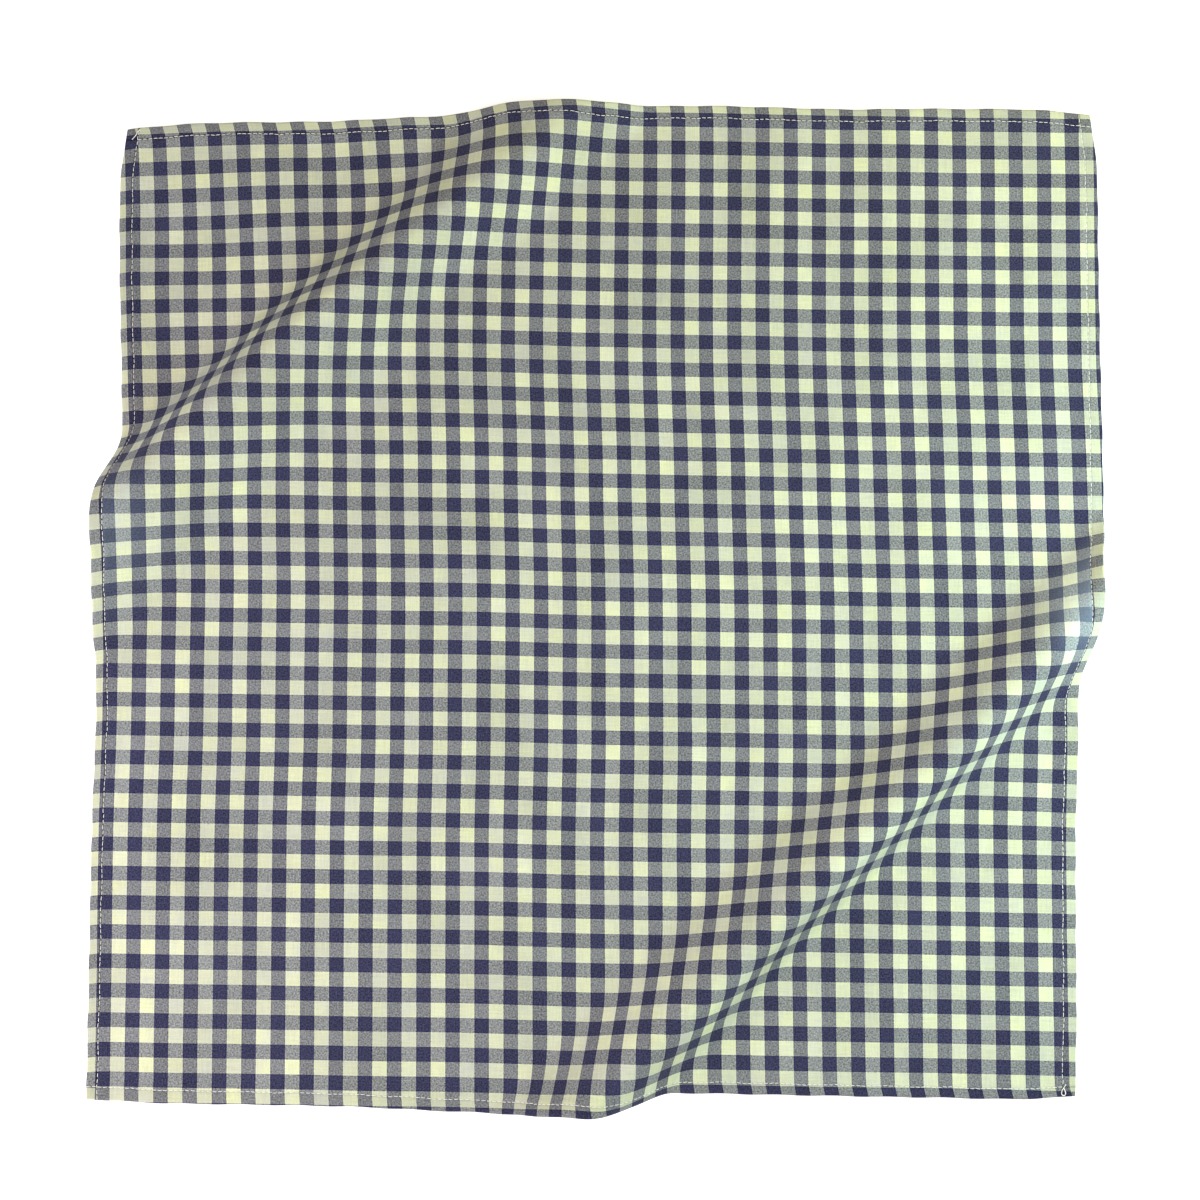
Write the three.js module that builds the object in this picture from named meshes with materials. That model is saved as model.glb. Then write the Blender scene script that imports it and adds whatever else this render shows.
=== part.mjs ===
// A gingham bandana: one hemmed square of cotton lying on a surface.
// Millimetres, +X to the right, +Y away from the viewer, +Z up.
// The cloth lies flat apart from two soft ridges on the bias, each cutting off one corner.
import * as THREE from "three";

// Cloth: cut size, and thickness in the field and at the turned hem
const WIDTH = 560;
const LENGTH = 561;
const THICKNESS = 1.2;
const HEM_WIDTH = 6.5;
const HEM_THICKNESS = 1.8;
const HEM_STEP = 1.5;

// How far each edge lies outside the straight cut line, at shares of its length.
// Left and right edges run from bottom to top, the other two from left to right.
const EDGE_BOWS = [
  { at: 0, left: 0.3, right: -3.7, bottom: -1.9, top: 2.2 },
  { at: 0.125, left: 0, right: -2.6, bottom: -1.5, top: 2.3 },
  { at: 0.25, left: -0.4, right: -2.3, bottom: -1.5, top: 1.3 },
  { at: 0.375, left: -0.7, right: -1.4, bottom: 0.5, top: 2.7 },
  { at: 0.5, left: 1.2, right: -1.5, bottom: 1.8, top: 0.2 },
  { at: 0.625, left: 0.6, right: 1.4, bottom: 2.6, top: 1.4 },
  { at: 0.75, left: -0.9, right: 2.9, bottom: 2.6, top: 1 },
  { at: 0.875, left: -0.9, right: 2.6, bottom: 3, top: 2.4 },
  { at: 1, left: -1, right: 2.5, bottom: 3, top: 2.4 },
];

// How far the folded hem draws in the corner tips at an edge's start and end
const TIPS = {
  left: { start: 0, end: 5.6 },
  right: { start: 0.8, end: 3.6 },
  bottom: { start: 1.1, end: 2.6 },
  top: { start: 2, end: 2.8 },
};
const TIP_REACH = 45;

// The cloth is pulled a little out of square, towards a rhomb
const SKEW = 0.0124;

// Ridges. A row is one section across the ridge, in the order of its place along the bias:
// at: place on the bias line, 0 at the middle of the cloth and positive to the upper right
// crest: distance from the middle of the cloth to the crest, measured on the flat cloth
// height: rise of the crest
// inner, outer: steepest slope, in degrees, of the flanks facing the middle and the corner
// Beyond the crest the corner is turned in its own plane by the angle turn, in radians.
const RIDGES = [
  {
    corner: new THREE.Vector2(-1, 1).normalize(),
    turn: -0.046,
    sections: [
      { at: -175, crest: 231, height: 32.5, inner: 40, outer: 50 },
      { at: -110, crest: 227.5, height: 30, inner: 40, outer: 57 },
      { at: -30, crest: 226.5, height: 28, inner: 37, outer: 57 },
      { at: 60, crest: 221, height: 23.5, inner: 44, outer: 47 },
      { at: 125, crest: 213, height: 21, inner: 40, outer: 36 },
      { at: 180, crest: 206, height: 13.5, inner: 31, outer: 17 },
    ],
  },
  {
    corner: new THREE.Vector2(1, -1).normalize(),
    turn: -0.01,
    sections: [
      { at: -215, crest: 199, height: 27, inner: 47, outer: 52 },
      { at: -140, crest: 198.5, height: 27.5, inner: 47, outer: 57 },
      { at: -50, crest: 199, height: 27.5, inner: 44, outer: 64 },
      { at: 50, crest: 200.5, height: 26.5, inner: 47, outer: 62 },
      { at: 140, crest: 200, height: 26, inner: 46, outer: 57 },
      { at: 215, crest: 196.5, height: 23, inner: 50, outer: 41 },
    ],
  },
];
const BIAS = new THREE.Vector2(1, 1).normalize();

// How straight a flank is between its bends at the foot and the crest
const FLANK_STRAIGHTNESS = 3;

// Ridges lean outwards at their two open ends: shift along the bias for each millimetre of
// height, at this distance from the middle of the cloth
const END_LEAN = 0.083;
const END_DISTANCE = 200;

// Mesh: cells across the field between the hems, and steps along a flank
const FIELD_CELLS = 42;
const FLANK_STEPS = 24;
const NORMAL_STEP = 0.5;

const clothColour = new THREE.MeshStandardMaterial({
  color: 0x8c8f92,
  roughness: 0.9,
  metalness: 0,
  side: THREE.DoubleSide,
});

// Value of a table's column at a place, eased between the rows
function easedValue(rows, column, at) {
  let value = rows[0][column];
  for (let i = 1; i < rows.length; i++) {
    const before = rows[i - 1];
    const after = rows[i];
    const share = THREE.MathUtils.smoothstep(at, before.at, after.at);
    value += share * (after[column] - before[column]);
  }
  return value;
}

// Rise, and length lost in plan, of a flank of half-length 1 from its foot at -1 up to x.
// Its slope grows from nothing to the steepest angle in the middle, and back to nothing.
function flank(steepest, x) {
  const end = THREE.MathUtils.clamp(x, -1, 1);
  const step = (end + 1) / FLANK_STEPS;
  let rise = 0;
  let lost = 0;
  for (let i = 0; i < FLANK_STEPS; i++) {
    const middle = -1 + (i + 0.5) * step;
    const slope = steepest * (1 - Math.abs(middle) ** FLANK_STRAIGHTNESS);
    rise += Math.sin(slope) * step;
    lost += (1 - Math.cos(slope)) * step;
  }
  return { rise, lost };
}

// Height of the cloth, and how far it is drawn in, at a point across and along a ridge.
// Both flanks keep the cloth's own length, so the corner beyond them moves inwards.
function ridgeAt(sections, across, along) {
  const crest = easedValue(sections, "crest", along);
  const height = easedValue(sections, "height", along);
  const innerSlope = THREE.MathUtils.degToRad(easedValue(sections, "inner", along));
  const outerSlope = THREE.MathUtils.degToRad(easedValue(sections, "outer", along));
  const innerHalf = height / flank(innerSlope, 1).rise;
  const outerHalf = height / flank(outerSlope, 1).rise;
  const inner = flank(innerSlope, (across - crest) / innerHalf + 1);
  const outer = flank(outerSlope, (across - crest) / outerHalf - 1);
  return {
    crest,
    height: innerHalf * inner.rise - outerHalf * outer.rise,
    drawnIn: innerHalf * inner.lost + outerHalf * outer.lost,
  };
}

// Place in space of the underside of the cloth, from its flat coordinates
function place(flatX, flatY) {
  const point = new THREE.Vector3(flatX - SKEW * flatY, flatY - SKEW * flatX, 0);
  const along = flatX * BIAS.x + flatY * BIAS.y;
  for (const { corner, turn, sections } of RIDGES) {
    const across = flatX * corner.x + flatY * corner.y;
    const ridge = ridgeAt(sections, across, along);
    const swing = turn * Math.max(0, across - ridge.crest);
    const lean = END_LEAN * ridge.height * (along / END_DISTANCE) ** 3;
    point.x += (swing + lean) * BIAS.x - ridge.drawnIn * corner.x;
    point.y += (swing + lean) * BIAS.y - ridge.drawnIn * corner.y;
    point.z += ridge.height;
  }
  return point;
}

// Upward direction square to the cloth
function upright(flatX, flatY) {
  const rightwards = place(flatX + NORMAL_STEP, flatY).sub(place(flatX - NORMAL_STEP, flatY));
  const upwards = place(flatX, flatY + NORMAL_STEP).sub(place(flatX, flatY - NORMAL_STEP));
  return rightwards.cross(upwards).normalize();
}

// How far an edge lies outside its cut line at a distance along it, less the corner tips
function edgeBow(name, distance, length) {
  const nearStart = Math.max(0, 1 - distance / TIP_REACH);
  const nearEnd = Math.max(0, 1 - (length - distance) / TIP_REACH);
  const tips = TIPS[name].start * nearStart ** 2 + TIPS[name].end * nearEnd ** 2;
  return easedValue(EDGE_BOWS, name, distance / length) - tips;
}

// Grid lines along one side of a given length: the hem, its step, and even cells between
function gridLines(length) {
  const inset = HEM_WIDTH + HEM_STEP;
  const lines = [0, HEM_WIDTH];
  for (let i = 0; i <= FIELD_CELLS; i++) {
    lines.push(inset + ((length - 2 * inset) * i) / FIELD_CELLS);
  }
  lines.push(length - HEM_WIDTH, length);
  return lines;
}

// Flat coordinates of a grid point, with the bow of the edges spread over the cloth
function flatPoint(lineX, lineY) {
  const shareX = lineX / WIDTH;
  const shareY = lineY / LENGTH;
  const left = -WIDTH / 2 - edgeBow("left", lineY, LENGTH);
  const right = WIDTH / 2 + edgeBow("right", lineY, LENGTH);
  const bottom = -LENGTH / 2 - edgeBow("bottom", lineX, WIDTH);
  const top = LENGTH / 2 + edgeBow("top", lineX, WIDTH);
  return new THREE.Vector2(
    THREE.MathUtils.lerp(left, right, shareX),
    THREE.MathUtils.lerp(bottom, top, shareY),
  );
}

// The cloth as one closed sheet: an underside, an upper side and a rim round both
function clothGeometry() {
  const linesX = gridLines(WIDTH);
  const linesY = gridLines(LENGTH);
  const columns = linesX.length;
  const rows = linesY.length;
  const undersides = [];
  const uppers = [];
  linesY.forEach((lineY, j) => {
    linesX.forEach((lineX, i) => {
      const onHem = i < 2 || j < 2 || i > columns - 3 || j > rows - 3;
      const flat = flatPoint(lineX, lineY);
      const under = place(flat.x, flat.y);
      const thickness = onHem ? HEM_THICKNESS : THICKNESS;
      const upper = upright(flat.x, flat.y).multiplyScalar(thickness).add(under);
      undersides.push(under);
      uppers.push(upper);
    });
  });

  const under = (i, j) => j * columns + i;
  const upper = (i, j) => rows * columns + j * columns + i;
  const triangles = [];
  for (let j = 0; j < rows - 1; j++) {
    for (let i = 0; i < columns - 1; i++) {
      triangles.push(upper(i, j), upper(i + 1, j), upper(i + 1, j + 1));
      triangles.push(upper(i, j), upper(i + 1, j + 1), upper(i, j + 1));
      triangles.push(under(i, j), under(i + 1, j + 1), under(i + 1, j));
      triangles.push(under(i, j), under(i, j + 1), under(i + 1, j + 1));
    }
  }

  // The rim runs anticlockwise, seen from above
  const rim = [];
  for (let i = 0; i < columns - 1; i++) rim.push([i, 0]);
  for (let j = 0; j < rows - 1; j++) rim.push([columns - 1, j]);
  for (let i = columns - 1; i > 0; i--) rim.push([i, rows - 1]);
  for (let j = rows - 1; j > 0; j--) rim.push([0, j]);
  rim.forEach((here, k) => {
    const next = rim[(k + 1) % rim.length];
    triangles.push(under(...here), under(...next), upper(...next));
    triangles.push(under(...here), upper(...next), upper(...here));
  });

  const geometry = new THREE.BufferGeometry();
  geometry.setFromPoints([...undersides, ...uppers]);
  geometry.setIndex(triangles);
  return geometry;
}

// The origin is the middle of the cloth's outline, on the surface that it lies on
const cloth = new THREE.Mesh(clothGeometry(), clothColour);
cloth.name = "cloth";
const middle = new THREE.Box3().setFromObject(cloth).getCenter(new THREE.Vector3());
cloth.position.set(-middle.x, -middle.y, 0);

const bandana = new THREE.Group();
bandana.add(cloth);

export default bandana;
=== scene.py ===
"""A gingham bandana lying on a pale floor: the hemmed cloth, its sewing and a soft studio."""
import math

import bpy
import numpy as np
from mathutils import Matrix, Vector


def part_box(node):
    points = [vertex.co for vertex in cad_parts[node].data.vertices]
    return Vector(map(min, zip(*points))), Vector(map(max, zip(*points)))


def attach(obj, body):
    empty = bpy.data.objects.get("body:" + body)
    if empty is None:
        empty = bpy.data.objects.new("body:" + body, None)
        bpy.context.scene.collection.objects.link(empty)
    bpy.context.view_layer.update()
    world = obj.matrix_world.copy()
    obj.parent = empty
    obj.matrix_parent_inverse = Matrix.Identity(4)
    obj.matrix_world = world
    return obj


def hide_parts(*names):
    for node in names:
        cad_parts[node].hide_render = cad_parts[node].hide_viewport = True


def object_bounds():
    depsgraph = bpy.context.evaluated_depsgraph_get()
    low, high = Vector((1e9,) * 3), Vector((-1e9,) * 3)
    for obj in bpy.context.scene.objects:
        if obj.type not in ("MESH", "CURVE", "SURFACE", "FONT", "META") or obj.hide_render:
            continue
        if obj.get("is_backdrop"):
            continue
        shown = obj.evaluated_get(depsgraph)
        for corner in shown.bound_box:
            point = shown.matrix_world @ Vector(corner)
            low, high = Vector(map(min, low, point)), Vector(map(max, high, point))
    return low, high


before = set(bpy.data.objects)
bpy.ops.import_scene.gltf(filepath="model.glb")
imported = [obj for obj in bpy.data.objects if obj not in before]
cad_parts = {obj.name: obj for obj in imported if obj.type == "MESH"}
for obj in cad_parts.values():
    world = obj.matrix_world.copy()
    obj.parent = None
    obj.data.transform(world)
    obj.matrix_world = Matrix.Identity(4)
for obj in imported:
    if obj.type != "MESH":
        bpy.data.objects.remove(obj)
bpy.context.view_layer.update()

# Sizes are in metres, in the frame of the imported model: +X right, +Y away, +Z up.
# "Line" coordinates run from 0 at the left and bottom edges of the cloth as it was cut.
# "Flat" coordinates lie on the same cloth, with their origin in its middle.

# Cloth: cut size, and thickness of one layer and of the double-turned hem
WIDTH = 0.560
LENGTH = 0.561
FIELD_THICKNESS = 0.0004
HEM_THICKNESS = 0.0010
FOLD_RADIUS = 0.0007

# How far each edge lies outside the straight cut line, at shares of its length.
# Left and right edges run from bottom to top, the other two from left to right.
EDGE_BOWS = [
    dict(at=0.000, left=0.0003, right=-0.0037, bottom=-0.0019, top=0.0022),
    dict(at=0.125, left=0.0000, right=-0.0026, bottom=-0.0015, top=0.0023),
    dict(at=0.250, left=-0.0004, right=-0.0023, bottom=-0.0015, top=0.0013),
    dict(at=0.375, left=-0.0007, right=-0.0014, bottom=0.0005, top=0.0027),
    dict(at=0.500, left=0.0012, right=-0.0015, bottom=0.0018, top=0.0002),
    dict(at=0.625, left=0.0006, right=0.0014, bottom=0.0026, top=0.0014),
    dict(at=0.750, left=-0.0009, right=0.0029, bottom=0.0026, top=0.0010),
    dict(at=0.875, left=-0.0009, right=0.0026, bottom=0.0030, top=0.0024),
    dict(at=1.000, left=-0.0010, right=0.0025, bottom=0.0030, top=0.0024),
]

# Hem of each edge. Each pair of rows gives what holds at the edge's start, then at its end:
# tip: how far the corner tip is drawn in
# seam: how far in from the edge the seam runs
# slant: how far the turned cloth is dragged along the hem, for each metre outside the seam
# unsewn: how far from the corner the stitches stop
# line: how much darker the painted shadow of the seam's groove makes the cloth along the seam
HEMS = {
    "left": [
        dict(tip=0.0000, seam=0.0061, slant=-0.12, unsewn=0.0000, line=0.6),
        dict(tip=0.0056, seam=0.0071, slant=-0.12, unsewn=0.0015, line=0.45),
    ],
    "right": [
        dict(tip=0.0008, seam=0.0074, slant=0.00, unsewn=0.0065, line=0.25),
        dict(tip=0.0036, seam=0.0066, slant=0.00, unsewn=0.0025, line=0.1),
    ],
    "bottom": [
        dict(tip=0.0011, seam=0.0072, slant=0.00, unsewn=0.0000, line=0.15),
        dict(tip=0.0026, seam=0.0054, slant=0.27, unsewn=0.0072, line=0.15),
    ],
    "top": [
        dict(tip=0.0020, seam=0.0069, slant=-0.25, unsewn=0.0068, line=0.7),
        dict(tip=0.0028, seam=0.0072, slant=0.00, unsewn=0.0005, line=0.3),
    ],
}
SIDE_EDGES = ("left", "right")
TIP_REACH = 0.045

# The cloth is pulled a little out of square, and its yarns wander a little from straight
SKEW = 0.0124
WANDER = [
    dict(at=-0.275, sideways=-0.0005, lengthways=-0.0001),
    dict(at=-0.14, sideways=-0.0004, lengthways=0.0002),
    dict(at=-0.07, sideways=0.0008, lengthways=0.0004),
    dict(at=0, sideways=0.0011, lengthways=-0.0004),
    dict(at=0.07, sideways=0.0001, lengthways=-0.0004),
    dict(at=0.14, sideways=-0.0012, lengthways=-0.0004),
    dict(at=0.275, sideways=0.0003, lengthways=0.0002),
]

# Ridges. A row is one section across the ridge, in the order of its place along the bias:
# at: place on the bias line, 0 at the middle of the cloth and positive to the upper right
# crest: distance from the middle of the cloth to the crest, measured on the flat cloth
# height: rise of the crest
# inner, outer: steepest slope, in degrees, of the flanks facing the middle and the corner
# glow: how strongly painted light from the open end of the ridge shows through the thin cloth
# Beyond the crest the corner is turned in its own plane by the angle turn, in radians.
DIAGONAL = math.sqrt(0.5)
BIAS = (DIAGONAL, DIAGONAL)
RIDGES = [
    dict(
        corner=(-DIAGONAL, DIAGONAL),
        turn=-0.046,
        sections=[
            dict(at=-0.175, crest=0.231, height=0.0325, inner=40, outer=50, glow=0.75),
            dict(at=-0.110, crest=0.2275, height=0.030, inner=40, outer=57, glow=0),
            dict(at=-0.030, crest=0.2265, height=0.028, inner=37, outer=57, glow=0),
            dict(at=0.060, crest=0.221, height=0.0235, inner=44, outer=47, glow=0),
            dict(at=0.125, crest=0.213, height=0.021, inner=40, outer=36, glow=0),
            dict(at=0.180, crest=0.206, height=0.0135, inner=31, outer=17, glow=0),
        ],
    ),
    dict(
        corner=(DIAGONAL, -DIAGONAL),
        turn=-0.01,
        sections=[
            dict(at=-0.215, crest=0.199, height=0.027, inner=47, outer=52, glow=0),
            dict(at=-0.140, crest=0.1985, height=0.0275, inner=47, outer=57, glow=0),
            dict(at=-0.050, crest=0.199, height=0.0275, inner=44, outer=64, glow=0),
            dict(at=0.050, crest=0.2005, height=0.0265, inner=47, outer=62, glow=0),
            dict(at=0.140, crest=0.200, height=0.026, inner=46, outer=57, glow=0),
            dict(at=0.215, crest=0.1965, height=0.023, inner=50, outer=41, glow=3.0),
        ],
    ),
]

# How straight a flank is between its bends at the foot and the crest, and the steps along it
FLANK_STRAIGHTNESS = 3
FLANK_STEPS = 24

# Ridges lean outwards at their two open ends: shift along the bias for each metre of height,
# at this distance from the middle of the cloth
END_LEAN = 0.083
END_DISTANCE = 0.2
END_LEAN_POWER = 3

# Low waves left in cloth that was folded and shaken out: heading is in degrees from +X
WAVES = [
    dict(length=0.093, heading=8, height=0.0006, phase=0.4),
    dict(length=0.058, heading=-12, height=0.0003, phase=2.1),
    dict(length=0.071, heading=81, height=0.0004, phase=1.3),
    dict(length=0.036, heading=3, height=0.00012, phase=4.4),
]

# Hem: the seam's groove, how far in from the seam the hem's thickness fades, the puckers that
# its stitches draw in, whose spacing drifts to and fro, and the fine wave of the edge
GROOVE_DEPTH = 0.00025
GROOVE_WIDTH = 0.0005
HEM_STEP = 0.006
PUCKER_HEIGHT = 0.00016
PUCKER_LENGTH = 0.0093
PUCKER_REACH = 0.004
PUCKER_DRIFT = 2
PUCKERS_PER_DRIFT = 7
EDGE_WAVE = 0.0002
EDGE_WAVE_LENGTH = 0.031

# Sewing: one row of lockstitch along each seam. A stitch's ends are sunk into the cloth: its
# arch and sink are in thread radii, and the end is the share of the radius that is left there.
STITCH_PITCH = 0.003
STITCH_GAP = 0.0003
STITCH_STATIONS = 6
STITCH_JITTER = 0.00012
STITCH_ARCH = 1.9
STITCH_SINK = 0.9
STITCH_END = 0.65
THREAD_RADIUS = 0.00018
THREAD_SIDES = 6
RANDOM_SEED = 7

# Thread ends left at two corners: points as distances from the side edge and the end edge.
# Each is rounded by cutting its corners, and rises from the cloth by a few radii.
LOOSE_THREADS = [
    dict(
        side="left", end="top",
        points=[(0.0078, 0.0014), (0.0066, 0.0022), (0.0060, 0.0044), (0.0040, 0.0068)],
    ),
    dict(
        side="right", end="bottom",
        points=[
            (0.0056, 0.0068), (0.0070, 0.0046), (0.0082, 0.0028), (0.0074, 0.0008),
            (0.0056, 0.0012), (0.0060, 0.0034), (0.0070, 0.0050),
        ],
    ),
]
CORNER_CUTS = 3
CORNER_CUT = 0.25
LOOSE_RADIUS = 0.00024
LOOSE_RISE = 2

# Mesh: cells across the field between the hems, and the lines over each hem, as shares of its
# width and then as distances inwards from its seam
FIELD_CELLS = 188
HEM_LINE_SHARES = np.array([0, 0.05, 0.14, 0.34, 0.58, 0.8])
HEM_LINE_STEPS = np.array([-0.0005, 0, 0.0005, 0.0011, 0.0019, 0.0032])
NORMAL_STEP = 0.0005

# Gingham: width of a check, and where its stripes fall at the middle of the cloth.
# Stripes are counted from the upper left; even ones are navy, odd ones yellow.
CHECK = 0.00794
MIDDLE_COLUMN = 34.7
MIDDLE_ROW = 34.95
WEAVE_MAP = "Weave"

# Map for baked colours: the upper side takes this share of its width, the underside the rest
BAKE_MAP = "OFBake"
UPPER_SHARE = 0.78

rng = np.random.default_rng(RANDOM_SEED)


def smoothstep(value, low, high):
    """Soft step from 0 at the low value to 1 at the high one."""
    share = np.clip((value - low) / (high - low), 0, 1)
    return share * share * (3 - 2 * share)


def eased(rows, column, at):
    """Value of a table's column at a place, eased between the rows."""
    value = np.full(np.shape(at), float(rows[0][column]))
    for before, after in zip(rows, rows[1:]):
        share = smoothstep(at, before["at"], after["at"])
        value += share * (after[column] - before[column])
    return value


def flank(steepest, x):
    """Rise, and length lost in plan, of a flank of half-length 1 from its foot at -1 up to x."""
    end = np.clip(x, -1, 1)
    step = (end + 1) / FLANK_STEPS
    rise = np.zeros_like(end)
    lost = np.zeros_like(end)
    for i in range(FLANK_STEPS):
        middle = -1 + (i + 0.5) * step
        slope = steepest * (1 - np.abs(middle) ** FLANK_STRAIGHTNESS)
        rise += np.sin(slope) * step
        lost += (1 - np.cos(slope)) * step
    return rise, lost


def ridge_at(sections, across, along):
    """Crest, height and drawn-in length of a ridge at points across and along it."""
    crest = eased(sections, "crest", along)
    height = eased(sections, "height", along)
    inner_slope = np.radians(eased(sections, "inner", along))
    outer_slope = np.radians(eased(sections, "outer", along))
    top = np.ones_like(along)
    inner_half = height / flank(inner_slope, top)[0]
    outer_half = height / flank(outer_slope, top)[0]
    inner_rise, inner_lost = flank(inner_slope, (across - crest) / inner_half + 1)
    outer_rise, outer_lost = flank(outer_slope, (across - crest) / outer_half - 1)
    rise = inner_half * inner_rise - outer_half * outer_rise
    drawn_in = inner_half * inner_lost + outer_half * outer_lost
    return crest, rise, drawn_in


def light_below(flat_x, flat_y):
    """How strongly the painted light under the ridges' open ends shows through the cloth."""
    along = flat_x * BIAS[0] + flat_y * BIAS[1]
    light = np.zeros_like(along)
    for ridge in RIDGES:
        sections = ridge["sections"]
        across = flat_x * ridge["corner"][0] + flat_y * ridge["corner"][1]
        _, rise, _ = ridge_at(sections, across, along)
        lifted = rise / eased(sections, "height", along)
        light += eased(sections, "glow", along) * lifted
    return light


def ripple(flat_x, flat_y):
    """Height of the low waves, never below the floor."""
    height = np.zeros_like(flat_x)
    for wave in WAVES:
        heading = math.radians(wave["heading"])
        along = flat_x * math.cos(heading) + flat_y * math.sin(heading)
        turn = 2 * math.pi * along / wave["length"] + wave["phase"]
        height += wave["height"] * (1 + np.sin(turn)) / 2
    return height


def place(flat_x, flat_y):
    """Place in space of the underside of the cloth, from its flat coordinates."""
    x = flat_x - SKEW * flat_y + eased(WANDER, "sideways", flat_y)
    y = flat_y - SKEW * flat_x + eased(WANDER, "lengthways", flat_x)
    z = ripple(flat_x, flat_y)
    along = flat_x * BIAS[0] + flat_y * BIAS[1]
    for ridge in RIDGES:
        corner = ridge["corner"]
        across = flat_x * corner[0] + flat_y * corner[1]
        crest, rise, drawn_in = ridge_at(ridge["sections"], across, along)
        swing = ridge["turn"] * np.maximum(0, across - crest)
        lean = END_LEAN * rise * (along / END_DISTANCE) ** END_LEAN_POWER
        x += (swing + lean) * BIAS[0] - drawn_in * corner[0]
        y += (swing + lean) * BIAS[1] - drawn_in * corner[1]
        z += rise
    return np.stack([x, y, z], axis=-1)


def upright(flat_x, flat_y):
    """Upward direction square to the cloth."""
    rightwards = place(flat_x + NORMAL_STEP, flat_y) - place(flat_x - NORMAL_STEP, flat_y)
    upwards = place(flat_x, flat_y + NORMAL_STEP) - place(flat_x, flat_y - NORMAL_STEP)
    normal = np.cross(rightwards, upwards)
    return normal / np.linalg.norm(normal, axis=-1, keepdims=True)


def edge_length(name):
    """Length of the cut line of an edge."""
    return LENGTH if name in SIDE_EDGES else WIDTH


def edge_bow(name, distance):
    """How far an edge lies outside its cut line at a distance along it."""
    first, last = HEMS[name]
    length = edge_length(name)
    bow = eased(EDGE_BOWS, name, distance / length)
    bow -= first["tip"] * np.maximum(0, 1 - distance / TIP_REACH) ** 2
    bow -= last["tip"] * np.maximum(0, 1 - (length - distance) / TIP_REACH) ** 2
    return bow + EDGE_WAVE * np.sin(2 * math.pi * distance / EDGE_WAVE_LENGTH)


def flat_point(line_x, line_y):
    """Flat coordinates of a line point, with the bow of the edges spread over the cloth."""
    share_x = line_x / WIDTH
    share_y = line_y / LENGTH
    left = -WIDTH / 2 - edge_bow("left", line_y)
    right = WIDTH / 2 + edge_bow("right", line_y)
    bottom = -LENGTH / 2 - edge_bow("bottom", line_x)
    top = LENGTH / 2 + edge_bow("top", line_x)
    return left + (right - left) * share_x, bottom + (top - bottom) * share_y


def hem_value(name, column, run):
    """Value of a column of an edge's hem at a distance along it."""
    first, last = HEMS[name]
    return first[column] + (last[column] - first[column]) * run / edge_length(name)


def edge_offsets(line_x, line_y):
    """Distance inwards from each of the four seams."""
    return {
        "left": line_x - hem_value("left", "seam", line_y),
        "right": WIDTH - line_x - hem_value("right", "seam", line_y),
        "bottom": line_y - hem_value("bottom", "seam", line_x),
        "top": LENGTH - line_y - hem_value("top", "seam", line_x),
    }


def seam_offsets(line_x, line_y):
    """Distance inwards from the nearer seam of each pair: sides first, then ends."""
    offsets = edge_offsets(line_x, line_y)
    side_seam = np.minimum(offsets["left"], offsets["right"])
    end_seam = np.minimum(offsets["bottom"], offsets["top"])
    return side_seam, end_seam


def seam_shadow(line_x, line_y):
    """How much darker the painted shadow of the seam's groove makes the cloth along the nearest
    seam.
    """
    offsets = edge_offsets(line_x, line_y)
    nearest = np.argmin(list(offsets.values()), axis=0)
    runs = [line_y if name in SIDE_EDGES else line_x for name in offsets]
    return np.choose(nearest, [hem_value(name, "line", run) for name, run in zip(offsets, runs)])


def weave_place(line_x, line_y):
    """Column and row of the gingham at a line point, dragged along where the hem is turned."""
    flat_x, flat_y = flat_point(line_x, line_y)
    for name, offset in edge_offsets(line_x, line_y).items():
        on_side = name in SIDE_EDGES
        drag = hem_value(name, "slant", line_y if on_side else line_x) * np.maximum(0, -offset)
        flat_x = flat_x - (0 if on_side else drag)
        flat_y = flat_y - (drag if on_side else 0)
    return np.stack([flat_x / CHECK + MIDDLE_COLUMN, MIDDLE_ROW - flat_y / CHECK], -1)


def layers(line_x, line_y):
    """Heights of the underside and of the upper side, square to the cloth."""
    edge = np.minimum.reduce([line_x, WIDTH - line_x, line_y, LENGTH - line_y])
    fold = np.sqrt(1 - (1 - np.clip(edge / FOLD_RADIUS, 0, 1)) ** 2)
    thickness = np.full(np.shape(line_x), FIELD_THICKNESS)
    relief = np.zeros(np.shape(line_x))
    runs = (line_y, line_x)
    for offset, run in zip(seam_offsets(line_x, line_y), runs):
        in_hem = 1 - smoothstep(offset, GROOVE_WIDTH, HEM_STEP)
        thickness += (HEM_THICKNESS - FIELD_THICKNESS) * in_hem
        relief -= GROOVE_DEPTH * np.exp(-((offset / GROOVE_WIDTH) ** 2))
        turn = 2 * math.pi * run / PUCKER_LENGTH
        drift = PUCKER_DRIFT * np.sin(turn / PUCKERS_PER_DRIFT)
        pucker = np.sin(turn + drift) * np.exp(-((offset / PUCKER_REACH) ** 2))
        relief += PUCKER_HEIGHT * pucker
    under = thickness * (1 - fold) / 2
    upper = thickness * (1 + fold) / 2 + relief * fold
    return under, upper


def in_space(line_x, line_y, lift):
    """Place in space of a point of the cloth at a height square to its underside."""
    flat_x, flat_y = flat_point(line_x, line_y)
    return place(flat_x, flat_y) + upright(flat_x, flat_y) * lift[..., None]


def grid_lines(first_seam, last_seam, length):
    """Lines across the cloth in one direction: close together over each hem, even between."""

    def hem_lines(seam):
        return np.concatenate([HEM_LINE_SHARES * seam, seam + HEM_LINE_STEPS], axis=-1)

    first = hem_lines(first_seam)
    last = length - hem_lines(last_seam)[..., ::-1]
    share = np.linspace(0, 1, FIELD_CELLS + 1)[1:-1]
    field = first[..., -1:] + (last[..., :1] - first[..., -1:]) * share
    return np.concatenate([first, field, last], axis=-1)


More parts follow.
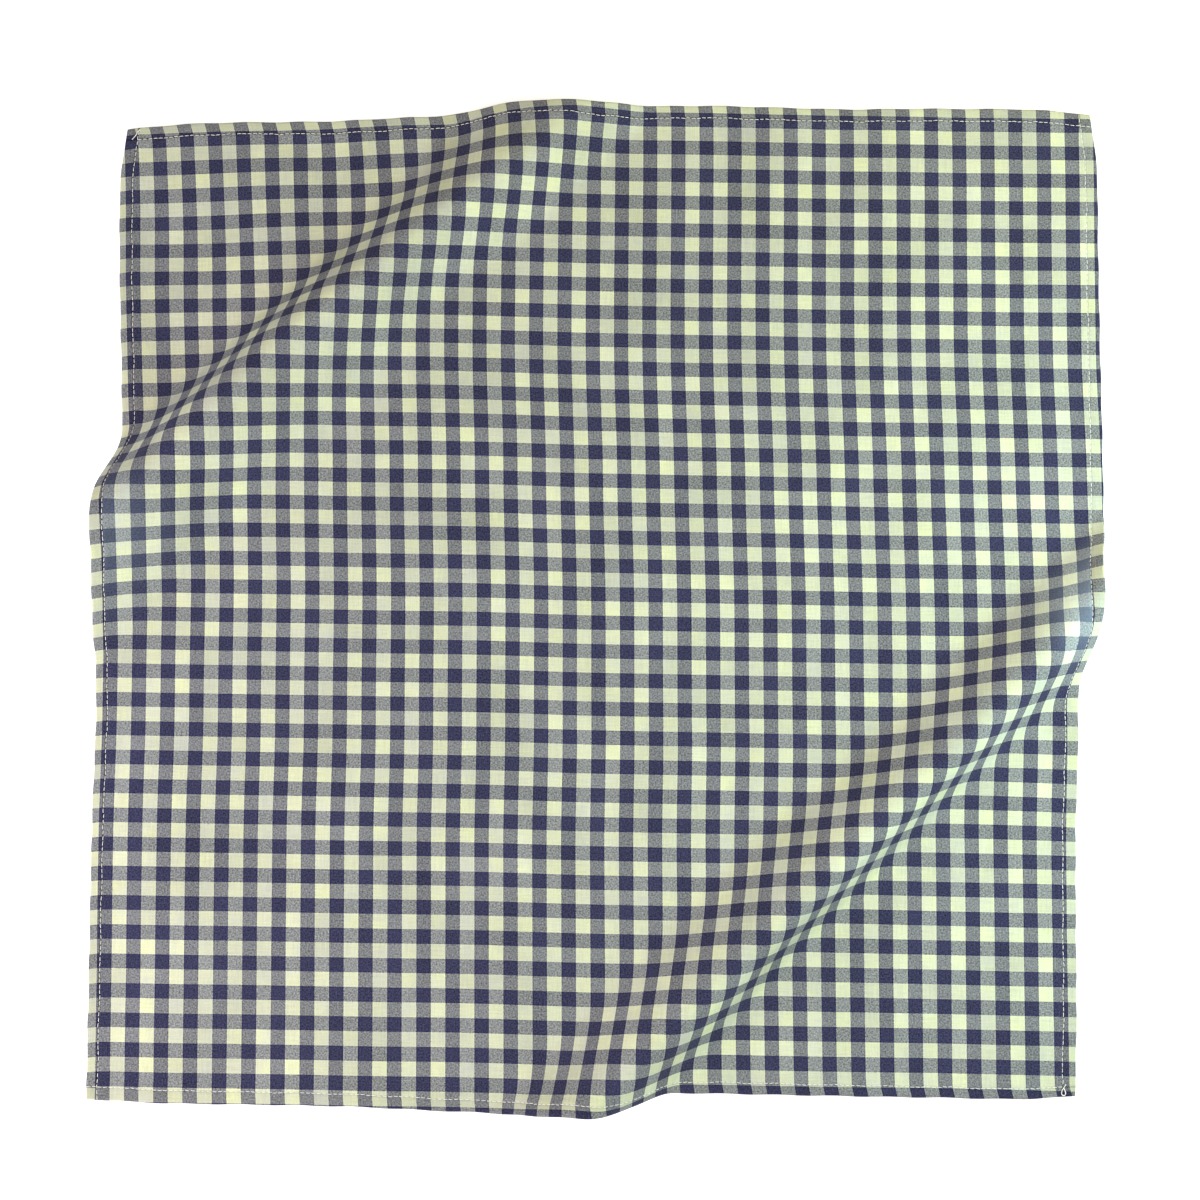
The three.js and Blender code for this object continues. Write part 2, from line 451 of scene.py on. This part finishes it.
def cloth_grid():
    """Line coordinates of the cloth's grid points, whose outer lines follow the seams."""

    def lines_x(at_y):
        return grid_lines(hem_value("left", "seam", at_y), hem_value("right", "seam", at_y), WIDTH)

    def lines_y(at_x):
        return grid_lines(hem_value("bottom", "seam", at_x), hem_value("top", "seam", at_x), LENGTH)

    line_x = lines_x(lines_y(WIDTH / 2)[:, None])
    line_y = lines_y(lines_x(LENGTH / 2)[:, None])
    return line_x, line_y.T


def new_mesh_object(name, points, faces):
    """A smooth-shaded mesh in the scene, from its points and its faces as point numbers."""
    mesh = bpy.data.meshes.new(name)
    mesh.from_pydata(points.tolist(), [], faces)
    mesh.polygons.foreach_set("use_smooth", np.ones(len(mesh.polygons), bool))
    mesh.update()
    piece = bpy.data.objects.new(name, mesh)
    bpy.context.scene.collection.objects.link(piece)
    return piece


def cloth_piece():
    """The cloth as one closed thin sheet, whose two sides share the folded edge."""
    line_x, line_y = cloth_grid()
    rows, columns = line_x.shape
    line_x = line_x.ravel()
    line_y = line_y.ravel()
    under, upper = layers(line_x, line_y)
    upper_points = in_space(line_x, line_y, upper)
    under_points = in_space(line_x, line_y, under)

    numbers = np.arange(rows * columns).reshape(rows, columns)
    inside = np.zeros((rows, columns), bool)
    inside[1:-1, 1:-1] = True
    under_numbers = numbers.copy()
    under_numbers[inside] = rows * columns + np.arange(inside.sum())
    points = np.concatenate([upper_points, under_points[inside.ravel()]])

    def quads(grid):
        corners = [grid[:-1, :-1], grid[:-1, 1:], grid[1:, 1:], grid[1:, :-1]]
        return np.stack(corners, -1).reshape(-1, 4)

    corner_numbers = quads(numbers)
    faces = np.concatenate([corner_numbers, quads(under_numbers)[:, ::-1]])
    piece = new_mesh_object("bandana_cloth", points, faces.tolist())

    corners_upper = corner_numbers.ravel()
    corners_under = corner_numbers[:, ::-1].ravel()
    weave = weave_place(line_x, line_y)
    turned = turned_hem_weave(weave.reshape(rows, columns, 2), line_x, line_y, corner_numbers)
    weave_map = piece.data.uv_layers.new(name=WEAVE_MAP)
    weave_map.data.foreach_set("uv", np.concatenate([weave[corners_upper], turned]).ravel())

    share = np.stack([line_x / WIDTH, line_y / LENGTH], -1)
    upper_place = share[corners_upper] * (UPPER_SHARE, 1)
    under_place = share[corners_under] * (1 - UPPER_SHARE, 1) + (UPPER_SHARE, 0)
    bake_map = piece.data.uv_layers.new(name=BAKE_MAP)
    bake_map.data.foreach_set("uv", np.concatenate([upper_place, under_place]).ravel())

    side_seam, end_seam = seam_offsets(line_x, line_y)
    one_layer = smoothstep(np.minimum(side_seam, end_seam), 0, GROOVE_WIDTH)
    light = light_below(*flat_point(line_x, line_y)) * one_layer
    # Attributes for the material, among them the painted shadow of the seam's groove and the
    # painted light under the ridges' ends
    shades = {
        "side_seam": side_seam,
        "end_seam": end_seam,
        "seam_shadow": seam_shadow(line_x, line_y),
        "light_below": light,
    }
    for name, values in shades.items():
        attribute = piece.data.attributes.new(name, "FLOAT", "POINT")
        attribute.data.foreach_set("value", np.concatenate([values, values[inside.ravel()]]))
    return piece


def turned_hem_weave(weave, line_x, line_y, corner_numbers):
    """Weave places of the underside's corners: the turned hem is mirrored at the fold."""
    rows, columns = weave.shape[:2]
    numbers = corner_numbers[:, ::-1]
    places = weave.reshape(-1, 2)[numbers]
    middle_x = line_x[numbers].mean(1)
    middle_y = line_y[numbers].mean(1)
    on_side, on_end = (offset < GROOVE_WIDTH for offset in seam_offsets(middle_x, middle_y))
    edge_column = np.where(middle_x < WIDTH / 2, 0, columns - 1)[:, None]
    edge_row = np.where(middle_y < LENGTH / 2, 0, rows - 1)[:, None]
    column_at_fold = weave[numbers // columns, edge_column, 0]
    row_at_fold = weave[edge_row, numbers % columns, 1]
    places[..., 0] = np.where(on_side[:, None], 2 * column_at_fold - places[..., 0], places[..., 0])
    places[..., 1] = np.where(on_end[:, None], 2 * row_at_fold - places[..., 1], places[..., 1])
    return places.reshape(-1, 2)


def seam_point(name, run):
    """Line coordinates of an edge's seam at a distance along it."""
    inset = hem_value(name, "seam", run)
    return {
        "left": (inset, run),
        "right": (WIDTH - inset, run),
        "bottom": (run, inset),
        "top": (run, LENGTH - inset),
    }[name]


def tubes(centres, ups, radius):
    """Closed tubes along paths: points, and faces as point numbers. Paths are rows of points."""
    count, stations = centres.shape[:2]
    along = np.gradient(centres, axis=1)
    along /= np.linalg.norm(along, axis=-1, keepdims=True)
    side = np.cross(along, ups)
    side /= np.linalg.norm(side, axis=-1, keepdims=True)
    up = np.cross(side, along)
    angle = 2 * math.pi * np.arange(THREAD_SIDES) / THREAD_SIDES
    ring = np.cos(angle)[:, None] * side[:, :, None] + np.sin(angle)[:, None] * up[:, :, None]
    points = centres[:, :, None] + ring * radius[:, :, None, None]

    number = np.arange(count * stations * THREAD_SIDES).reshape(count, stations, THREAD_SIDES)
    onward = np.roll(number, -1, axis=2)
    sides = np.stack([number[:, :-1], onward[:, :-1], onward[:, 1:], number[:, 1:]], -1)
    caps = [*number[:, 0, ::-1].tolist(), *number[:, -1].tolist()]
    return points.reshape(-1, 3), [*sides.reshape(-1, 4).tolist(), *caps]


def seam_threads(name):
    """Paths of an edge's stitches on the cloth, as line coordinates and heights, with radii."""
    first, last = HEMS[name]
    sewn = edge_length(name) - first["unsewn"] - last["unsewn"]
    count = round(sewn / STITCH_PITCH)
    pitch = sewn / count
    share = np.linspace(0, 1, STITCH_STATIONS)
    arch = np.sin(math.pi * share)
    start = first["unsewn"] + np.arange(count)[:, None] * pitch + STITCH_GAP / 2
    line_x, line_y = seam_point(name, start + share * (pitch - STITCH_GAP))
    ends = rng.normal(0, STITCH_JITTER, (count, 2))
    sway = ends[:, :1] + (ends[:, 1:] - ends[:, :1]) * share
    if name in SIDE_EDGES:
        line_x = line_x + sway
    else:
        line_y = line_y + sway
    height = THREAD_RADIUS * (STITCH_ARCH * arch - STITCH_SINK)
    radius = THREAD_RADIUS * (STITCH_END + (1 - STITCH_END) * np.sqrt(arch))
    height, radius = (np.broadcast_to(values, line_x.shape) for values in (height, radius))
    return line_x, line_y, height, radius


def loose_thread(row):
    """Path of a thread end that lies on the cloth near a corner, as a one-row table of places."""
    points = np.array(row["points"])
    for _ in range(CORNER_CUTS):
        near = points[:-1] * (1 - CORNER_CUT) + points[1:] * CORNER_CUT
        far = points[:-1] * CORNER_CUT + points[1:] * (1 - CORNER_CUT)
        between = np.stack([near, far], 1).reshape(-1, 2)
        points = np.concatenate([points[:1], between, points[-1:]])
    from_side, from_end = points.T[:, None]
    line_x = WIDTH - from_side if row["side"] == "right" else from_side
    line_y = LENGTH - from_end if row["end"] == "top" else from_end
    height = LOOSE_RADIUS * np.linspace(1, 1 + LOOSE_RISE, len(points))[None]
    return line_x, line_y, height, np.full_like(line_x, LOOSE_RADIUS)


def stitching_piece():
    """All stitches of the hem, and its loose thread ends, as one mesh of threads."""
    threads = [seam_threads(name) for name in HEMS] + [loose_thread(row) for row in LOOSE_THREADS]
    all_points = []
    all_faces = []
    first = 0
    for line_x, line_y, height, radius in threads:
        _, upper = layers(line_x, line_y)
        centres = in_space(line_x, line_y, upper + height)
        ups = upright(*flat_point(line_x, line_y))
        points, faces = tubes(centres, ups, radius)
        all_points.append(points)
        all_faces.extend([[first + n for n in face] for face in faces])
        first += len(points)
    return new_mesh_object("hem_stitching", np.concatenate(all_points), all_faces)


# The sRGB curve: straight up to its knee, then a power of the offset value
SRGB_KNEE = 0.04045
SRGB_SLOPE = 12.92
SRGB_OFFSET = 0.055
SRGB_POWER = 2.4
BYTE = 255


def linear(red, green, blue):
    """Scene colour of an sRGB colour given in bytes."""
    parts = np.array([red, green, blue]) / BYTE
    low = parts / SRGB_SLOPE
    high = ((parts + SRGB_OFFSET) / (1 + SRGB_OFFSET)) ** SRGB_POWER
    return (*np.where(parts <= SRGB_KNEE, low, high).tolist(), 1.0)


# Numbers of a Mix node's sockets for colours: its share and two colours, and its result
MIX_INPUTS = (0, 6, 7)
MIX_OUTPUT = 2


class NodeKit:
    """Adds and joins the nodes of one material."""

    def __init__(self, name):
        self.material = bpy.data.materials.new(name)
        self.material.use_nodes = True
        self.tree = self.material.node_tree
        self.shader = self.tree.nodes["Principled BSDF"]

    def feed(self, socket, value):
        if isinstance(value, bpy.types.NodeSocket):
            self.tree.links.new(value, socket)
        else:
            socket.default_value = value

    def add(self, kind, inputs=(), **settings):
        node = self.tree.nodes.new(kind)
        for name, value in settings.items():
            setattr(node, name, value)
        for name, value in dict(inputs).items():
            self.feed(node.inputs[name], value)
        return node

    def math(self, operation, *values):
        node = self.add("ShaderNodeMath", operation=operation)
        for socket, value in zip(node.inputs, values):
            self.feed(socket, value)
        return node.outputs[0]

    def stretched(self, vector, x, y):
        node = self.add("ShaderNodeVectorMath", operation="MULTIPLY")
        self.feed(node.inputs[0], vector)
        self.feed(node.inputs[1], (x, y, 1))
        return node.outputs[0]

    def noise(self, vector, detail=2.0):
        """Noise in a plane, as a value either side of 0."""
        inputs = {"Vector": vector, "Scale": 1.0, "Detail": detail}
        node = self.add("ShaderNodeTexNoise", inputs, noise_dimensions="2D")
        return self.math("SUBTRACT", node.outputs["Fac"], 0.5)

    def step(self, value, low, high):
        """Soft step from 0 at the first value to 1 at the second."""
        inputs = {"Value": value, "From Min": low, "From Max": high}
        return self.add("ShaderNodeMapRange", inputs, interpolation_type="SMOOTHSTEP").outputs[0]

    def mix(self, share, first, second):
        node = self.add("ShaderNodeMix", data_type="RGBA", clamp_factor=False)
        for number, value in zip(MIX_INPUTS, (share, first, second)):
            self.feed(node.inputs[number], value)
        return node.outputs[MIX_OUTPUT]

    def scaled(self, colour, factor):
        node = self.add("ShaderNodeVectorMath", operation="SCALE")
        self.feed(node.inputs[0], colour)
        self.feed(node.inputs["Scale"], factor)
        return node.outputs[0]

    def sum(self, first, second):
        node = self.add("ShaderNodeVectorMath", operation="ADD")
        self.feed(node.inputs[0], first)
        self.feed(node.inputs[1], second)
        return node.outputs[0]

    def bump(self, height, distance, strength):
        inputs = {"Height": height, "Distance": distance, "Strength": strength}
        return self.add("ShaderNodeBump", inputs).outputs[0]

    def finish(self, values):
        """Sets what is the same all over the surface, on the shader's own sockets."""
        for name, value in values.items():
            self.shader.inputs[name].default_value = value


# Colours of the four kinds of check: by the yarns that run up the cloth, then across it
NAVY_NAVY = linear(53, 54, 80)
NAVY_YELLOW = linear(122, 125, 125)
YELLOW_NAVY = linear(134, 138, 135)
LEMON = linear(213, 219, 172)
CREAM = linear(200, 205, 186)

# Weave: yarns in a check, softness and wobble of a stripe's edge, and how much each kind of
# unevenness changes the colour. Stripes are a little stronger in colour along their edges.
# Slubs are counted across and along the yarns of a check.
YARNS_PER_CHECK = 19
SLUBS_ACROSS = YARNS_PER_CHECK / 2
SLUBS_ALONG = 0.7
STRIPE_SOFTNESS = 0.035
STRIPE_WOBBLE = 0.05
EDGE_ACCENT = 0.1
EDGE_ACCENT_REACH = 0.32
WEAVE_CONTRAST = 0.3
MIXED_SPECKLE = 2.3
NAVY_SPECKLE = 2.8
YELLOW_SPECKLE = 0.2
SPECKLES_PER_CHECK = 9
SPECKLE_DETAIL = 3.0
STREAK = 0.2
BLOTCH = 1.2
BLOTCH_CHECKS = 2.2
CHECK_TONE = 0.35
CHECK_SHADE = 0.16
CLOUD = 0.28
CLOUD_COLUMNS = 4
CLOUD_ROWS = 8
SMOOTH_DETAIL = 1.0

# Painted light from below: what it adds to the yarns' colour and to the gaps between them, and how
# much darker the hem is painted as shade without it
LIGHT_IN_YARN = 0.1
LIGHT_IN_GAPS = (0.07, 0.095, 0.098)
HEM_SHADE = 0.09

# The painted shadow of the seam's groove, a fine dark line: its middle, as a distance inwards from
# the seam, and how far from that it is dark and has faded
SEAM_SHADOW_MIDDLE = -0.0001
SEAM_SHADOW_HALF = 0.0003
SEAM_SHADOW_REACH = 0.0008

# Surface of the cloth: roughness and its spread, relief of the weave, and what is even all over
ROUGHNESS = 0.88
ROUGHNESS_SPREAD = 0.2
WEAVE_RELIEF = 0.00008
WEAVE_RELIEF_STRENGTH = 0.35
CLOTH_FINISH = {"Specular IOR Level": 0.12, "Sheen Weight": 0.04, "Sheen Roughness": 0.6}


def gingham_material():
    """Yarn-dyed plain weave: stripes both ways, with slubs, a fine weave, painted shade along the
    seam and painted light from below.
    """
    kit = NodeKit("gingham_cotton")
    weave = kit.add("ShaderNodeUVMap", uv_map=WEAVE_MAP).outputs["UV"]
    parts = kit.add("ShaderNodeSeparateXYZ", {"Vector": weave})
    column = parts.outputs["X"]
    row = parts.outputs["Y"]

    # Yarns are uneven: streaks run along them, speckles where two of them cross, no two checks
    # have quite the same tone, and the washed cloth is faintly cloudy
    warp_slub = kit.noise(kit.stretched(weave, SLUBS_ACROSS, SLUBS_ALONG))
    weft_slub = kit.noise(kit.stretched(weave, SLUBS_ALONG, SLUBS_ACROSS))
    speckled = kit.stretched(weave, SPECKLES_PER_CHECK, SPECKLES_PER_CHECK)
    speckle = kit.noise(speckled, SPECKLE_DETAIL)
    blotch = kit.noise(kit.stretched(weave, 1 / BLOTCH_CHECKS, 1 / BLOTCH_CHECKS), SMOOTH_DETAIL)
    check = kit.add("ShaderNodeVectorMath", {"Vector": weave}, operation="FLOOR").outputs[0]
    dice = kit.add("ShaderNodeTexWhiteNoise", {"Vector": check}, noise_dimensions="2D")
    tone = kit.math("SUBTRACT", dice.outputs["Value"], 0.5)
    cloud = kit.noise(kit.stretched(weave, 1 / CLOUD_COLUMNS, 1 / CLOUD_ROWS), SMOOTH_DETAIL)

    def yellow_stripe(place, wobble):
        shifted = kit.math("MULTIPLY_ADD", wobble, STRIPE_WOBBLE, place)
        wave = kit.math("SINE", kit.math("MULTIPLY", shifted, math.pi))
        yellow = kit.step(wave, STRIPE_SOFTNESS, -STRIPE_SOFTNESS)
        beside_edge = kit.step(kit.math("ABSOLUTE", wave), EDGE_ACCENT_REACH, 0.0)
        accent = kit.math("MULTIPLY", beside_edge, kit.math("SUBTRACT", yellow, 0.5))
        return kit.math("MULTIPLY_ADD", accent, 2 * EDGE_ACCENT, yellow)

    yellow_warp = yellow_stripe(column, weft_slub)
    yellow_weft = yellow_stripe(row, warp_slub)
    lemon_share = kit.math("MULTIPLY_ADD", blotch, BLOTCH, 0.5)
    lemon_share = kit.math("MULTIPLY_ADD", tone, CHECK_TONE, lemon_share)
    yellow = kit.mix(lemon_share, CREAM, LEMON)
    on_navy = kit.mix(yellow_weft, NAVY_NAVY, NAVY_YELLOW)
    on_yellow = kit.mix(yellow_weft, YELLOW_NAVY, yellow)
    colour = kit.mix(yellow_warp, on_navy, on_yellow)

    # Where the two sets of yarn differ in colour, the yarn on top shows
    def yarn_wave(place):
        return kit.math("SINE", kit.math("MULTIPLY", place, math.pi * YARNS_PER_CHECK))

    over = kit.math("MULTIPLY", yarn_wave(column), yarn_wave(row))
    differ = kit.math("SUBTRACT", yellow_warp, yellow_weft)
    mixed = kit.math("ABSOLUTE", differ)
    top_yarn = kit.math("MULTIPLY", kit.math("MULTIPLY", over, differ), WEAVE_CONTRAST)
    slubs = kit.math("MULTIPLY", kit.math("ADD", warp_slub, weft_slub), STREAK)
    grain = kit.math("MULTIPLY_ADD", yellow_warp, YELLOW_SPECKLE - NAVY_SPECKLE, NAVY_SPECKLE)
    grain = kit.math("MULTIPLY_ADD", mixed, kit.math("SUBTRACT", MIXED_SPECKLE, grain), grain)
    speckles = kit.math("MULTIPLY", speckle, grain)
    uneven = kit.math("ADD", kit.math("ADD", top_yarn, speckles), slubs)
    uneven = kit.math("MULTIPLY_ADD", cloud, CLOUD, uneven)
    shade = kit.math("ADD", kit.math("MULTIPLY_ADD", tone, CHECK_SHADE, uneven), 1.0)

    # The seam pulls the cloth in along a groove, whose shadow is painted as a fine dark line; the
    # hem outside it is painted darker as shade, since little light from the floor comes through its
    # three layers
    groove_shadow = kit.add("ShaderNodeAttribute", attribute_name="seam_shadow").outputs["Fac"]
    for name in ("side_seam", "end_seam"):
        offset = kit.add("ShaderNodeAttribute", attribute_name=name).outputs["Fac"]
        distance = kit.math("ABSOLUTE", kit.math("SUBTRACT", offset, SEAM_SHADOW_MIDDLE))
        clear = kit.step(distance, SEAM_SHADOW_HALF, SEAM_SHADOW_REACH)
        folded = kit.step(offset, GROOVE_WIDTH, -GROOVE_WIDTH)
        unlit = kit.math("MULTIPLY_ADD", folded, -HEM_SHADE, 1.0)
        left_over = kit.math("MULTIPLY_ADD", kit.math("SUBTRACT", clear, 1.0), groove_shadow, unlit)
        shade = kit.math("MULTIPLY", shade, left_over)

    # Painted light: light from under the lifted ends of the ridges, as it shows through the open
    # weave, added to the colour
    below = kit.add("ShaderNodeAttribute", attribute_name="light_below").outputs["Fac"]
    shade = kit.math("MULTIPLY", shade, kit.math("MULTIPLY_ADD", below, LIGHT_IN_YARN, 1.0))
    colour = kit.sum(kit.scaled(colour, shade), kit.scaled(LIGHT_IN_GAPS, below))
    kit.feed(kit.shader.inputs["Base Color"], colour)
    rough = kit.math("MULTIPLY_ADD", speckle, ROUGHNESS_SPREAD, ROUGHNESS)
    kit.feed(kit.shader.inputs["Roughness"], rough)
    height = kit.math("ADD", kit.math("ABSOLUTE", over), kit.math("ADD", warp_slub, weft_slub))
    kit.feed(kit.shader.inputs["Normal"], kit.bump(height, WEAVE_RELIEF, WEAVE_RELIEF_STRENGTH))
    kit.finish(CLOTH_FINISH)
    return kit.material


# Sewing thread: its two tones, how many times they change in a metre, and its relief
THREAD_DULL = linear(236, 236, 226)
THREAD_BRIGHT = linear(252, 252, 247)
THREAD_MOTTLE = 1500
THREAD_RELIEF = 0.00005
THREAD_RELIEF_STRENGTH = 0.5
THREAD_FINISH = {"Roughness": 0.7, "Specular IOR Level": 0.25}

# Floor: its size, how far it lies below the cloth, its two tones and how they change in a
# metre, and its finish, which glows so that it stays white under the soft light
FLOOR_SIZE = 8.0
FLOOR_GAP = 0.0004
FLOOR_DULL = linear(243, 243, 243)
FLOOR_BRIGHT = linear(246, 246, 246)
FLOOR_MOTTLE = 3
FLOOR_FINISH = {
    "Roughness": 0.8,
    "Specular IOR Level": 0.2,
    "Emission Color": (1.0, 1.0, 1.0, 1.0),
    "Emission Strength": 0.55,
}


def mottled(kit, mottle, dull, bright):
    """Gives a material's colour two tones that change over the piece, and returns the noise."""
    place = kit.add("ShaderNodeTexCoord").outputs["Object"]
    tone = kit.noise(kit.stretched(place, mottle, mottle))
    colour = kit.mix(kit.math("ADD", tone, 0.5), dull, bright)
    kit.feed(kit.shader.inputs["Base Color"], colour)
    return tone


def thread_material():
    """Pale twisted sewing cotton."""
    kit = NodeKit("sewing_thread")
    tone = mottled(kit, THREAD_MOTTLE, THREAD_DULL, THREAD_BRIGHT)
    kit.feed(kit.shader.inputs["Normal"], kit.bump(tone, THREAD_RELIEF, THREAD_RELIEF_STRENGTH))
    kit.finish(THREAD_FINISH)
    return kit.material


def floor_material():
    """Matt white board with a faint unevenness."""
    kit = NodeKit("white_board")
    mottled(kit, FLOOR_MOTTLE, FLOOR_DULL, FLOOR_BRIGHT)
    kit.finish(FLOOR_FINISH)
    return kit.material


# Studio: two soft windows beside the cloth and two farther off at its corners, each with its
# place, power in watts and colour, under an even sky
LIGHTS = [
    dict(name="right_window", place=(0.58, 0.0, 0.35), power=3.93, colour=(0.727, 0.957, 1.0)),
    dict(name="left_window", place=(-0.58, 0.0, 0.35), power=1.22, colour=(0.808, 0.754, 1.0)),
    dict(name="near_corner", place=(-0.92, -0.92, 0.6), power=18.1, colour=(1.0, 0.891, 0.942)),
    dict(name="far_corner", place=(0.92, 0.92, 0.6), power=5.83, colour=(1.0, 0.691, 0.198)),
]
LIGHT_SIZE = 0.4
SKY_COLOUR = (1.0, 1.0, 1.0, 1.0)
SKY_STRENGTH = 0.3


def studio():
    """A wide pale floor under a soft even sky and a few large lights."""
    half = FLOOR_SIZE / 2
    corners = np.array([(-half, -half, 0), (half, -half, 0), (half, half, 0), (-half, half, 0)])
    floor = new_mesh_object("floor", corners - (0, 0, FLOOR_GAP), [[0, 1, 2, 3]])
    floor.data.materials.append(floor_material())
    floor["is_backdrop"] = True

    world = bpy.data.worlds.new("soft_sky")
    world.use_nodes = True
    background = world.node_tree.nodes["Background"]
    background.inputs["Color"].default_value = SKY_COLOUR
    background.inputs["Strength"].default_value = SKY_STRENGTH
    bpy.context.scene.world = world

    for row in LIGHTS:
        data = bpy.data.lights.new(row["name"], "AREA")
        data.energy = row["power"]
        data.color = row["colour"]
        data.size = LIGHT_SIZE
        light = bpy.data.objects.new(row["name"], data)
        spot = Vector(row["place"])
        facing_cloth = spot.to_track_quat("Z", "Y").to_matrix().to_4x4()
        light.matrix_world = Matrix.Translation(spot) @ facing_cloth
        light.visible_camera = False
        bpy.context.scene.collection.objects.link(light)
    bpy.context.scene.view_settings.view_transform = "Standard"


# Camera, almost straight above: its distance, its lens and sensor in millimetres, its lean and
# turn in degrees, and its aim
CAMERA_DISTANCE = 1.0
CAMERA_LENS = 54.0
CAMERA_SENSOR = 36.0
CAMERA_LEAN = 4.16
CAMERA_TURN = 0.37
CAMERA_AIM = Vector((0.0004, 0.0, 0))


def camera(middle):
    """The camera, aimed near the middle of the cloth."""
    data = bpy.data.cameras.new("camera")
    data.lens = CAMERA_LENS
    data.sensor_width = CAMERA_SENSOR
    eye = bpy.data.objects.new("camera", data)
    lean = Matrix.Rotation(math.radians(CAMERA_LEAN), 4, "X")
    turn = lean @ Matrix.Rotation(math.radians(CAMERA_TURN), 4, "Z")
    back = turn @ Vector((0, 0, CAMERA_DISTANCE))
    eye.matrix_world = Matrix.Translation(middle + CAMERA_AIM + back) @ turn
    bpy.context.scene.collection.objects.link(eye)
    bpy.context.scene.camera = eye


def main():
    """Makes the pieces, sets them on the frame, and lights and frames them."""
    cloth = cloth_piece()
    stitching = stitching_piece()

    # Both pieces are moved so that the cloth's outline is centred on its solid's
    low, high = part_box("cloth")
    points = np.array([vertex.co for vertex in cloth.data.vertices])
    outline_middle = Vector(((points.min(0) + points.max(0)) / 2).tolist())
    shift = (low + high) / 2 - outline_middle
    shift.z = 0
    for piece in (cloth, stitching):
        piece.data.transform(Matrix.Translation(shift))
        piece.data.update()
        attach(piece, "root")
    cloth.data.materials.append(gingham_material())
    stitching.data.materials.append(thread_material())
    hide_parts("cloth")

    studio()
    camera(shift)

    low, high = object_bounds()


main()
